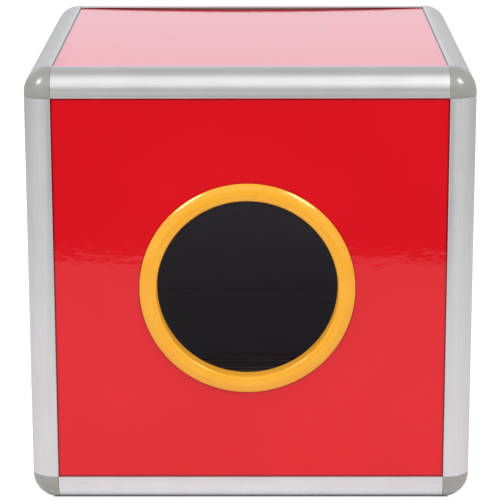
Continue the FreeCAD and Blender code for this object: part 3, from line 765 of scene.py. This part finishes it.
# Colour and share of the painted shade lines: shade painted along the rails' lips and below the ring.
PAINTED_SHADE_COLOUR = (0.06, 0.008, 0.010, 1.0)
PAINTED_SHADE_SHARE = 0.8
CORE_DARK = (0.075, 0.045, 0.026, 1.0)
CORE_LIGHT = (0.16, 0.10, 0.06, 1.0)
GREY_DARK = (0.505, 0.485, 0.550, 1.0)
GREY_LIGHT = (0.550, 0.530, 0.595, 1.0)
RING_CENTRE = Vector((-2.0, 0.0, 151.7))
RING_OUTER = 72.3
# Widths of the painted shade line along the lips and of the painted shadow round the ring, and the ring
# shadow's strength below and above it.
LIP_LINE = 1.3
LIP_LINE_FULL = 0.5
RING_LINE = 1.7
RING_LINE_FULL = 0.1
RING_LINE_BELOW = 0.6
RING_LINE_ABOVE = 0.3
RING_LINE_TURN = 60.0

# Places for the finishes, which read points in metres.
FACE = (BOX / 2 - RAIL_SKIN) * MM
TOP_FACE = (BOX - RAIL_SKIN) * MM
BOARD_HALF = (BOX / 2 - BOARD_INSET) * MM
LIP_EDGE = (BOX / 2 - RAIL_FLANGE) * MM
MIDDLE = BOX / 2 * MM


def by_the_lips(one, other):
    """1 in the narrow painted shade line along the rails' lips, from a point's two places on the board.
    """
    from_middle = one.maths("MAXIMUM", one.size(), other.size())
    return from_middle.ramp(LIP_EDGE - LIP_LINE * MM, LIP_EDGE - LIP_LINE_FULL * MM)


def from_ring_axis(across, height):
    """The distance of a point from the axis of the hand hole's ring."""
    offsets = {"X": across - RING_CENTRE.x * MM, "Y": height - RING_CENTRE.z * MM}
    return across.recipe.node("ShaderNodeCombineXYZ", None, offsets).length()


def by_the_ring(across, height):
    """The painted shadow line round the foot of the hand hole's ring, strongest below it."""
    start = (RING_OUTER + RING_LINE_FULL) * MM
    end = (RING_OUTER + RING_LINE) * MM
    line = 1.0 - from_ring_axis(across, height).ramp(start, end)
    above = (height - RING_CENTRE.z * MM).ramp(-RING_LINE_TURN * MM, RING_LINE_TURN * MM)
    return line * (RING_LINE_BELOW - (RING_LINE_BELOW - RING_LINE_ABOVE) * above)


def darkened(colour, share):
    """A colour with a share of its light taken away."""
    return (*(channel * (1.0 - share) for channel in colour[:3]), 1.0)


def laminated_board(name, outside_depth, painted_shade_line=None, reds=(RED_DEEP, RED_BRIGHT)):
    """One board's finish. outside_depth(x, y, z) is how far a point lies below the red face. The third
    argument, if given, is 1 in a painted shade line, where the red is darkened as shade between the
    board and the parts on it."""

    def layers(recipe):
        point = recipe.node("ShaderNodeTexCoord", output="Object")
        places = point.parts()
        depth = outside_depth(*places)
        red_side = depth < LAMINATE * MM
        inside_face = depth > (BOARD - LAMINATE) * MM
        peel = noise(scaled(point, 0.6, 0.6, 1.0), 230.0, 2.0, 0.45)
        swell = noise(point, 14.0, 1.0)
        fibres = noise(point, 2200.0, 4.0, 0.7)
        cloud = noise(point, 9.0, 2.0)
        red = recipe.blend(cloud.ramp(0.3, 0.7), *reds)
        # Painted shade: the red is darkened along the line to stand in for shade.
        if painted_shade_line:
            red = recipe.blend(PAINTED_SHADE_SHARE * painted_shade_line(*places), red, PAINTED_SHADE_COLOUR)
        core = recipe.blend(fibres.ramp(0.35, 0.65), CORE_DARK, CORE_LIGHT)
        grey = recipe.blend(fibres.ramp(0.35, 0.65), GREY_DARK, GREY_LIGHT)
        inner = recipe.blend(inside_face, core, grey)
        peel_normal = bumped(peel, PEEL_DEPTH * MM)
        return {
            "Base Color": recipe.blend(red_side, inner, red),
            "Metallic": DEEP_GLOSS * red_side,
            "Roughness": INSIDE_ROUGHNESS - (INSIDE_ROUGHNESS - RED_ROUGHNESS) * red_side,
            "IOR": 1.52,
            "Normal": bumped(swell, SWELL_DEPTH * MM, normal=peel_normal),
        }

    return coated(name, layers)


# Each board's second function is its painted shade line along the rails' lips; the front's also paints
# the ring's shadow round its foot.
red_front = laminated_board(
    "red_front_board", lambda x, y, z: y + FACE,
    lambda x, y, z: x.maths("MAXIMUM", by_the_lips(x, z - MIDDLE), by_the_ring(x, z)),
)
red_back = laminated_board(
    "red_back_board", lambda x, y, z: FACE - y, lambda x, y, z: by_the_lips(x, z - MIDDLE),
)
red_left = laminated_board(
    "red_left_board", lambda x, y, z: x + FACE, lambda x, y, z: by_the_lips(y, z - MIDDLE),
)
red_right = laminated_board(
    "red_right_board", lambda x, y, z: FACE - x, lambda x, y, z: by_the_lips(y, z - MIDDLE),
)
red_bottom = laminated_board(
    "red_bottom_board", lambda x, y, z: z - RAIL_SKIN * MM, lambda x, y, z: by_the_lips(x, y),
)
# The top board gets a darker copy of the red, a painted shade on its upward face.
red_top = laminated_board(
    "red_top_board",
    lambda x, y, z: TOP_FACE - SAG * MM * (1.0 - x * x * (1.0 / BOARD_HALF**2)) - z,
    lambda x, y, z: by_the_lips(x, y),
    [darkened(red, TOP_PAINTED_SHADE) for red in (RED_DEEP, RED_BRIGHT)],
)
for board, material in (
    ("panel_front", red_front), ("panel_left", red_left), ("panel_right", red_right),
    ("panel_bottom", red_bottom),
):
    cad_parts[board].data.materials.clear()
    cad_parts[board].data.materials.append(material)


def sagging_board():
    """The top board: a gentle arc from one side rail to the other, the same from front to back."""
    shape = bmesh.new()
    there = range(SAG_STEPS + 1)
    ends = []
    for y in (-BOARD_HALF, BOARD_HALF):
        loop = []
        for level, ways in ((0.0, there), (BOARD * MM, reversed(there))):
            for step in ways:
                x = BOARD_HALF * (2 * step / SAG_STEPS - 1)
                drop = SAG * MM * (1 - (x / BOARD_HALF) ** 2)
                loop.append(shape.verts.new((x, y, TOP_FACE - drop - level)))
        ends.append(loop)
    front, back = ends
    joined_loops(shape, front, back)
    shape.faces.new(front)
    shape.faces.new(back)
    return as_mesh(shape, "top_board")


piece("top_board", smoothed(sagging_board()), "box", "red_board", ["panel_top"], red_top)

FLAT_ANGLE = 0.5
ROUNDING_SEGMENTS = 2
FLAT_FACE_WEIGHT = 100


def softened(cad_node, edge):
    """A CAD node's shape with its edges rounded by a given width in millimetres. Its flat faces keep
    one shade right up to the rounding."""
    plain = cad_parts[cad_node].data.copy()
    if "custom_normal" in plain.attributes:
        plain.attributes.remove(plain.attributes["custom_normal"])
    shape = bmesh.new()
    shape.from_mesh(plain)
    bmesh.ops.remove_doubles(shape, verts=shape.verts, dist=MERGED_WITHIN * MM)
    bmesh.ops.dissolve_limit(
        shape, angle_limit=math.radians(FLAT_ANGLE), verts=shape.verts, edges=shape.edges,
    )
    mesh = as_mesh(shape, cad_node + "_softened")
    mesh.shade_smooth()
    made = bpy.data.objects.new("softened", mesh)
    scene.collection.objects.link(made)
    rounding = made.modifiers.new("rounding", "BEVEL")
    rounding.width = edge * MM
    rounding.segments = ROUNDING_SEGMENTS
    rounding.limit_method = "ANGLE"
    rounding.angle_limit = math.radians(SHARP_ANGLE)
    rounding.use_clamp_overlap = True
    evening = made.modifiers.new("evening", "WEIGHTED_NORMAL")
    evening.keep_sharp = True
    evening.weight = FLAT_FACE_WEIGHT
    return baked(made)


back_board = softened("panel_back", BOARD_EDGE)
piece("back_board", back_board, "box", "red_board", ["panel_back"], red_back)


# Hand hole ring and its retainer
# A glossy amber moulding: a low domed bead on the front board, and a collar through it. Six
# catches on the collar's tail hold it behind a plain ring of the same plastic.

RING_BORE = 60.8
RING_CREST = 65.0
RING_HEIGHT = 4.1
RING_FOOT = 0.9
RING_INNER_EDGE = 2.0
RING_EDGE_ROUND = 0.3
RING_FOOT_ROUND = 0.15
RING_EDGE_STEPS = 10
RING_DOME_STEPS = 24
RING_SEGMENTS = 192
COLLAR = 62.8
COLLAR_TAIL = -8.2
CATCHES = 6
CATCH_SWEEP = 8.0
CATCH_SEGMENTS = 6
CATCH_FACE = -6.1
CATCH_REACH = 0.8
CATCH_ROOT = 0.4
CATCH_CHAMFER = 0.1
RETAINER_BORE = 62.9
RETAINER_THICKNESS = 3.0
RETAINER_ROUND = 0.8
RETAINER_SEGMENTS = 144
SMALL_ROUND_STEPS = 4
AMBER_DEEP = (0.985, 0.440, 0.016, 1.0)
AMBER_BRIGHT = (1.0, 0.475, 0.026, 1.0)
DULL_BORE_SKIN = 0.5
DULL_BORE_START = 2.6
DULL_BORE_FULL = 1.9


def arc(centre, radius, start, end, steps):
    """Points of an arc, as radius from the axis and height."""
    points = []
    for step in range(steps + 1):
        angle = math.radians(start + (end - start) * step / steps)
        points.append((centre[0] + radius * math.cos(angle), centre[1] + radius * math.sin(angle)))
    return points


def turned_shape(shape, profile, segments, start=0.0, sweep=360.0):
    """A closed profile of radius and height, turned about local Z. A part turn gets flat ends."""
    whole = sweep == 360.0
    rings = []
    for index in range(segments if whole else segments + 1):
        angle = math.radians(start + sweep * index / segments)
        across = math.cos(angle) * MM
        along = math.sin(angle) * MM
        rings.append([
            shape.verts.new((radius * across, radius * along, height * MM)) for radius, height in profile
        ])
    for index in range(segments):
        joined_loops(shape, rings[index], rings[(index + 1) % len(rings)])
    if not whole:
        shape.faces.new(rings[0])
        shape.faces.new(rings[-1])


def ring_profile():
    """Bore, rounded inner edge, domed bead, short upright foot and collar."""
    drop = RING_HEIGHT - RING_FOOT
    dome = ((RING_OUTER - RING_CREST) ** 2 + drop**2) / (2 * drop)
    dome_level = RING_HEIGHT - dome
    edge = RING_BORE + RING_INNER_EDGE
    edge_level = dome_level + math.sqrt((dome - RING_INNER_EDGE) ** 2 - (RING_CREST - edge) ** 2)
    meeting = math.degrees(math.atan2(edge_level - dome_level, edge - RING_CREST))
    outside = math.degrees(math.atan2(RING_FOOT - dome_level, RING_OUTER - RING_CREST))
    inner_round = arc((edge, edge_level), RING_INNER_EDGE, 180, meeting, RING_EDGE_STEPS)
    bead = arc((RING_CREST, dome_level), dome, meeting, outside, RING_DOME_STEPS)
    rounded = [(radius, height, 0.0) for radius, height in inner_round + bead[1:-1]]
    return eased(rounded + [
        (RING_OUTER, RING_FOOT, RING_EDGE_ROUND), (RING_OUTER, 0.0, RING_FOOT_ROUND),
        (COLLAR, 0.0, 0.0), (COLLAR, COLLAR_TAIL, RING_EDGE_ROUND),
        (RING_BORE, COLLAR_TAIL, RING_EDGE_ROUND),
    ])


def on_front(mesh, depth):
    """Lays a turned piece's axis through the hand hole, with local Z out of the front."""
    origin = Vector((RING_CENTRE.x, -BOX / 2 + RAIL_SKIN + depth, RING_CENTRE.z)) * MM
    mesh.transform(laid(ACROSS, UP, -BACKWARDS, origin))
    return mesh


def amber(recipe):
    """Solid coloured plastic, almost mirror smooth, with faint flow lines round the moulding. The
    bore is dull from just behind its rounded edge on."""
    point = recipe.node("ShaderNodeTexCoord", output="Object")
    cloud = noise(point, 35.0, 3.0)
    flow = noise(point, 180.0, 2.0)
    across, deep, height = point.parts()
    in_the_bore = from_ring_axis(across, height) < (RING_BORE + DULL_BORE_SKIN) * MM
    in_the_bore = in_the_bore * (deep + FACE).ramp(-DULL_BORE_START * MM, -DULL_BORE_FULL * MM)
    return {
        "Base Color": recipe.blend(cloud.ramp(0.3, 0.7), AMBER_DEEP, AMBER_BRIGHT),
        "Metallic": 0.06,
        "Roughness": 0.13 + 0.06 * cloud + 0.65 * in_the_bore,
        "IOR": 1.58,
        "Normal": bumped(flow, 0.010 * MM, 0.6),
    }


amber_plastic = coated("amber_ring_plastic", amber)
shape = bmesh.new()
turned_shape(shape, ring_profile(), RING_SEGMENTS)
catch_tip = COLLAR + CATCH_REACH
catch_profile = [
    (COLLAR - CATCH_ROOT, CATCH_FACE), (catch_tip - CATCH_CHAMFER, CATCH_FACE),
    (catch_tip, CATCH_FACE - 1.5 * CATCH_CHAMFER),
    (COLLAR + CATCH_CHAMFER / 2, COLLAR_TAIL + CATCH_CHAMFER),
    (COLLAR - CATCH_ROOT, COLLAR_TAIL + CATCH_ROOT),
]
for index in range(CATCHES):
    start = index * 360 / CATCHES - CATCH_SWEEP / 2
    turned_shape(shape, catch_profile, CATCH_SEGMENTS, start, CATCH_SWEEP)
ring_mesh = on_front(as_mesh(shape, "amber_ring"), 0.0)
piece("amber_ring", smoothed(ring_mesh), "box", "ring_amber", ["hand_hole_ring"], amber_plastic)

round_level = RETAINER_ROUND - RETAINER_THICKNESS
inner_middle = (RETAINER_BORE + RETAINER_ROUND, round_level)
outer_middle = (RING_OUTER - RETAINER_ROUND, round_level)
inner_side = arc(inner_middle, RETAINER_ROUND, 180, 270, SMALL_ROUND_STEPS)
outer_side = arc(outer_middle, RETAINER_ROUND, 270, 360, SMALL_ROUND_STEPS)
retainer_profile = [(RETAINER_BORE, 0.0)] + inner_side + outer_side + [(RING_OUTER, 0.0)]
shape = bmesh.new()
turned_shape(shape, retainer_profile, RETAINER_SEGMENTS)
retainer_mesh = smoothed(on_front(as_mesh(shape, "ring_retainer"), BOARD))
piece("ring_retainer", retainer_mesh, "box", "ring_amber", ["hand_hole_retainer"], amber_plastic)


# Access door and its stops
# The door is cut from the same laminated board as the back. Four strips of grey plastic, glued
# inside round the opening, stop it flush with the back.

DOOR_FACE = 149.0 * MM
STOP_EDGE = 0.9

red_door = laminated_board("red_access_door", lambda x, y, z: DOOR_FACE - y)
access_door = softened("door_leaf", BOARD_EDGE)
piece("access_door", access_door, "door", "red_board", ["door_leaf"], red_door)


def stop_grey(recipe):
    """Dull extruded strip with a fine grain."""
    point = recipe.node("ShaderNodeTexCoord", output="Object")
    grain = noise(point, 1500.0, 3.0)
    return {
        "Base Color": recipe.blend(grain.ramp(0.3, 0.7), GREY_DARK, GREY_LIGHT),
        "Roughness": 0.5 + 0.2 * grain,
        "Normal": bumped(grain, 0.03 * MM, 0.7),
    }


stop_plastic = coated("grey_stop_plastic", stop_grey)
for side in ("top", "bottom", "hinge_side", "lock_side"):
    strip = softened(f"door_stop_{side}", STOP_EDGE)
    piece(f"stop_strip_{side}", strip, "box", "stop_strip", [f"door_stop_{side}"], stop_plastic)


# Hinges
# Two small butt hinges of nickel plated sheet steel, with their pins just outside the boards: the
# frame leaf has the two outer knuckles and the door leaf the middle one, on a headed wire pin.

HINGE_AXIS = Vector((84.4, 151.2, 0.0))
HINGE_HEIGHTS = {"upper": 202.0, "lower": 98.0}
HINGE_LENGTH = 30.0
LEAF_THICKNESS = 1.0
LEAF_EDGE = 0.12
PIN_RADIUS = 1.0
PIN_HEAD_RADIUS = 1.6
PIN_HEAD = 0.6
PIN_HEAD_ROUND = 0.3
SMALL_SEGMENTS = 32
ROLLED_UP = (1.0, 1.0, 0.02)
NICKEL = ((0.50, 0.49, 0.45, 1.0), (0.68, 0.66, 0.61, 1.0))
STEEL_WIRE = ((0.44, 0.44, 0.43, 1.0), (0.58, 0.58, 0.57, 1.0))


def plated(name, dark, light, roughness, stretch):
    """Bright plating over rolled metal, in a shade between dark and light: faint rolling lines, and
    a cloud that dulls it a little."""

    def layers(recipe):
        point = recipe.node("ShaderNodeTexCoord", output="Object")
        lines = noise(scaled(point, *stretch), 1600.0, 3.0, 0.6)
        cloud = noise(point, 120.0, 3.0)
        shade = 0.5 * lines + 0.5 * cloud
        return {
            "Base Color": recipe.blend(shade.ramp(0.3, 0.7), dark, light),
            "Metallic": 1.0,
            "Roughness": roughness + 0.12 * cloud,
            "Normal": bumped(lines, GRAIN_DEPTH * MM, 0.5),
        }

    return coated(name, layers)


def pin_profile():
    """A stem between two heads whose outer edges are rounded."""
    half = HINGE_LENGTH / 2
    end = half + PIN_HEAD
    inner = PIN_HEAD_RADIUS - PIN_HEAD_ROUND
    top = arc((inner, end - PIN_HEAD_ROUND), PIN_HEAD_ROUND, 0, 90, SMALL_ROUND_STEPS)
    bottom = arc((inner, PIN_HEAD_ROUND - end), PIN_HEAD_ROUND, 270, 360, SMALL_ROUND_STEPS)
    stem = [(PIN_HEAD_RADIUS, -half), (PIN_RADIUS, -half), (PIN_RADIUS, half), (PIN_HEAD_RADIUS, half)]
    return [(0.0, -end)] + bottom + stem + top + [(0.0, end)]


hinge_nickel = plated("nickel_hinge", *NICKEL, 0.22, ROLLED_UP)
pin_steel = plated("hinge_pin_wire", *STEEL_WIRE, 0.28, ROLLED_UP)
for name, middle in HINGE_HEIGHTS.items():
    for owner, body in (("frame", "box"), ("door", "door")):
        cad_leaf = f"hinge_{name}_{owner}_leaf"
        leaf = softened(cad_leaf, LEAF_EDGE)
        piece(f"{name}_hinge_{owner}_leaf", leaf, body, "hinge_steel", [cad_leaf], hinge_nickel)
    shape = bmesh.new()
    turned_shape(shape, pin_profile(), SMALL_SEGMENTS)
    pin = as_mesh(shape, "hinge_pin")
    pin.transform(Matrix.Translation((HINGE_AXIS + UP * middle) * MM))
    cad_pin = f"hinge_{name}_pin"
    piece(f"{name}_hinge_pin", smoothed(pin), "box", "hinge_pin_steel", [cad_pin], pin_steel)


# Hinge rivets
# Eight blind rivets of plain aluminium: a domed head with the stub of its mandrel on each leaf, and
# a swelled tail inside the board.

RIVET_PITCH = 18.0
RIVET_FROM_AXIS = 10.0
RIVET_HEAD = 0.8
RIVET_HEAD_RADIUS = 2.9
RIVET_RIM = 0.05
DOME_RADII = (1.3, 1.7, 2.1, 2.5, 2.8)
DOME_LIFT = 0.04
RIVET_SHANK = 1.6
RIVET_TAIL = 1.2
RIVET_TAIL_RADIUS = 2.5
RIVET_TAIL_ROUND = 0.6
RIVET_TAIL_INSET = 0.45
PLAIN_ALUMINIUM = ((0.60, 0.60, 0.60, 1.0), (0.74, 0.74, 0.75, 1.0))

# The mandrel's stub and the rim of its hole, as radius and depth below the head's crown.
MANDREL_STUB = ((0.0, 0.3), (0.75, 0.26), (0.9, 0.22), (1.02, 0.04))


def rivet_profile():
    """From the middle of the head, over the dome, along the shank and round the tail."""
    stub = [(radius, RIVET_HEAD - depth) for radius, depth in MANDREL_STUB]
    dome = [
        (radius, RIVET_HEAD * (1 - (radius / RIVET_HEAD_RADIUS) ** 2) + DOME_LIFT)
        for radius in DOME_RADII
    ]
    rim = [(RIVET_HEAD_RADIUS, RIVET_RIM), (RIVET_HEAD_RADIUS, 0.0)]
    tail_top = -LEAF_THICKNESS - BOARD
    tail_end = tail_top - RIVET_TAIL
    middle = (RIVET_TAIL_RADIUS - RIVET_TAIL_INSET, tail_top - RIVET_TAIL_ROUND)
    swell = [
        (min(radius, RIVET_TAIL_RADIUS), max(height, tail_end))
        for radius, height in arc(middle, RIVET_TAIL_ROUND, 60, -80, 6)
    ]
    shank = [(RIVET_SHANK, 0.0), (RIVET_SHANK, tail_top)]
    return stub + dome + rim + shank + swell + [(0.0, tail_end)]


def riveted():
    """The geometry tree that sets a rivet at each point of a mesh."""
    recipe, wires = geometry_tree("riveted", Rivet="Object", Finish="Material")
    places, rivet, finish = wires
    settings = {"transform_space": "ORIGINAL"}
    master = recipe.node("GeometryNodeObjectInfo", settings, {"Object": rivet}, "Geometry")
    inputs = {"Points": places, "Instance": master}
    finished_tree(recipe, recipe.node("GeometryNodeInstanceOnPoints", None, inputs), finish)
    return recipe


rivet_recipe = riveted()
shape = bmesh.new()
turned_shape(shape, rivet_profile(), SMALL_SEGMENTS)
rivet_mesh = as_mesh(shape, "rivet")
rivet_mesh.transform(Matrix.Rotation(-math.pi / 2, 4, "X"))
smoothed(rivet_mesh)
rivet_aluminium = plated("rivet_aluminium", *PLAIN_ALUMINIUM, 0.30, (1.0, 0.3, 1.0))
one_rivet = bpy.data.objects.new("one_rivet", rivet_mesh)
scene.collection.objects.link(one_rivet)

for owner, body, seat, way in (("frame", "box", FACE, 1), ("door", "door", DOOR_FACE, -1)):
    x = HINGE_AXIS.x + way * RIVET_FROM_AXIS
    shape = bmesh.new()
    for middle in HINGE_HEIGHTS.values():
        for height in (middle + RIVET_PITCH / 2, middle - RIVET_PITCH / 2):
            shape.verts.new((x * MM, seat + LEAF_THICKNESS * MM, height * MM))
    places = as_mesh(shape, "rivet_places")
    mesh = grown(rivet_recipe, places, {"Rivet": one_rivet, "Finish": rivet_aluminium})
    piece(f"{owner}_rivets", smoothed(mesh), body, "rivet_aluminium", [f"hinge_rivets_{owner}"])
bpy.data.objects.remove(one_rivet)


# Cam lock
# A plated die-cast lock in the door: a round housing held by a thin nut inside, and a plug with a
# keyway. On the plug's tail a cranked arm of zinc plated steel sits on two flats, under a screw.

CHROME = ((0.62, 0.62, 0.63, 1.0), (0.78, 0.78, 0.79, 1.0))
ZINC = ((0.48, 0.49, 0.49, 1.0), (0.64, 0.65, 0.66, 1.0))
lock_chrome = plated("plated_lock", *CHROME, 0.12, (1.0, 1.0, 1.0))
zinc_steel = plated("zinc_plated_steel", *ZINC, 0.30, (0.05, 1.0, 1.0))
for cad_node, name, body, edge, slot, material in (
    ("lock_housing", "cam_lock_housing", "door", 0.2, "lock_chrome", lock_chrome),
    ("lock_nut", "cam_lock_nut", "door", 0.2, "zinc_steel", zinc_steel),
    ("lock_plug", "cam_lock_plug", "lock_plug", 0.12, "lock_chrome", lock_chrome),
    ("lock_cam", "cam_lock_arm", "lock_plug", 0.2, "zinc_steel", zinc_steel),
    ("lock_cam_screw", "cam_lock_screw", "lock_plug", 0.15, "zinc_steel", zinc_steel),
):
    piece(name, softened(cad_node, edge), body, slot, [cad_node], material)
